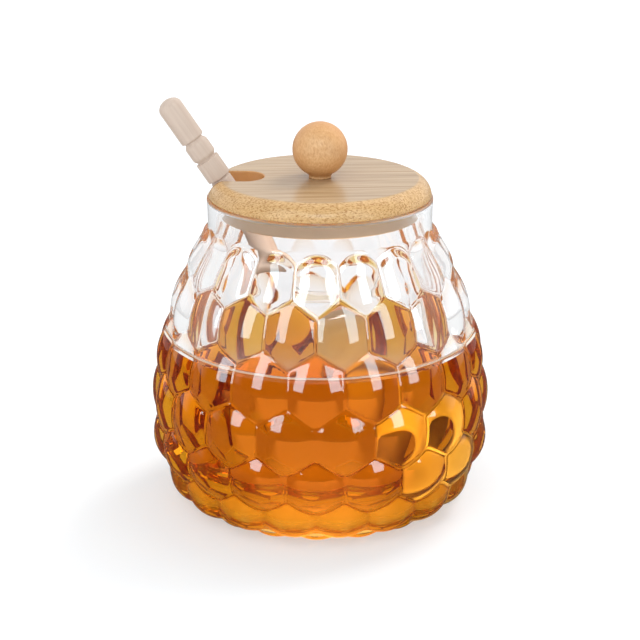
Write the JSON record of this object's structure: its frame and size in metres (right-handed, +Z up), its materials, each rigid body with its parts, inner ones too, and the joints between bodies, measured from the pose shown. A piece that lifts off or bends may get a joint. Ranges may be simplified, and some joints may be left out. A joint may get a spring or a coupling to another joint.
{
  "type": "honey pot with dipper",
  "caption": "Clear glass honey pot with honeycomb relief, part filled with honey, with a notched wooden lid, a ball knob and a leaning wooden dipper.",
  "frame": {"origin": "centre of the pot's flat base, on the surface that it stands on", "axes": "+Z up along the pot's axis; the dipper leans towards -X in the XZ plane and its ribbed head lies towards +X"},
  "size_m": [0.1102, 0.11, 0.1341],
  "materials": {
    "clear_glass": "smooth clear pressed glass",
    "honey": "clear orange amber liquid",
    "bamboo": "satin",
    "knob_wood": "satin",
    "dipper_wood": "matt"
  },
  "bodies": {
    "root": {"jar": "clear_glass", "honey": "honey", "lid": "bamboo", "knob": "knob_wood", "dipper": "dipper_wood"}
  },
  "joints": []
}
